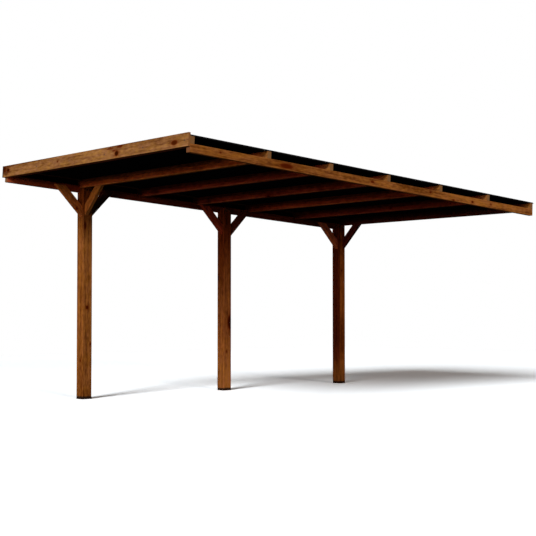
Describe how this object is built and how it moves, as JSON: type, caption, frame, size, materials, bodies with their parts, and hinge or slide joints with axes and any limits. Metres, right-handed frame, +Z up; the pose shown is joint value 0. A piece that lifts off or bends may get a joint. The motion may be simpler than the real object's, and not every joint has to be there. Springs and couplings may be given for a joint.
{
  "type": "carport",
  "caption": "Lean-to timber carport: sloping beams on a wall and on braced posts, notched cross joists, fascia boards and a black box-profile sheet roof.",
  "frame": {"origin": "centre of the wall beam's outer face, which bears on the wall", "axes": "+X level, from the high front end to the low rear end; +Y level, from the wall to the posts; +Z up"},
  "size_m": [5.163, 3.127, 2.5009],
  "materials": {
    "fascia": "brown stained softwood, satin",
    "beam": "brown stained softwood, satin",
    "joist": "brown stained softwood, satin",
    "post": "brown stained softwood, satin",
    "brace": "brown stained softwood, satin",
    "roof_sheet": "black coated steel, satin"
  },
  "bodies": {
    "root": {"wall_beam": "beam", "post_beam": "beam", "front_post": "post", "middle_post": "post", "rear_post": "post", "joist_1": "joist", "joist_2": "joist", "joist_3": "joist", "joist_4": "joist", "joist_5": "joist", "joist_6": "joist", "joist_7": "joist", "front_post_front_brace": "brace", "front_post_rear_brace": "brace", "middle_post_front_brace": "brace", "middle_post_rear_brace": "brace", "rear_post_front_brace": "brace", "front_post_cross_brace": "brace", "rear_post_cross_brace": "brace", "front_fascia": "fascia", "side_fascia": "fascia", "roof_sheet_wall_side": "roof_sheet", "roof_sheet_middle": "roof_sheet", "roof_sheet_post_side": "roof_sheet"}
  },
  "joints": []
}
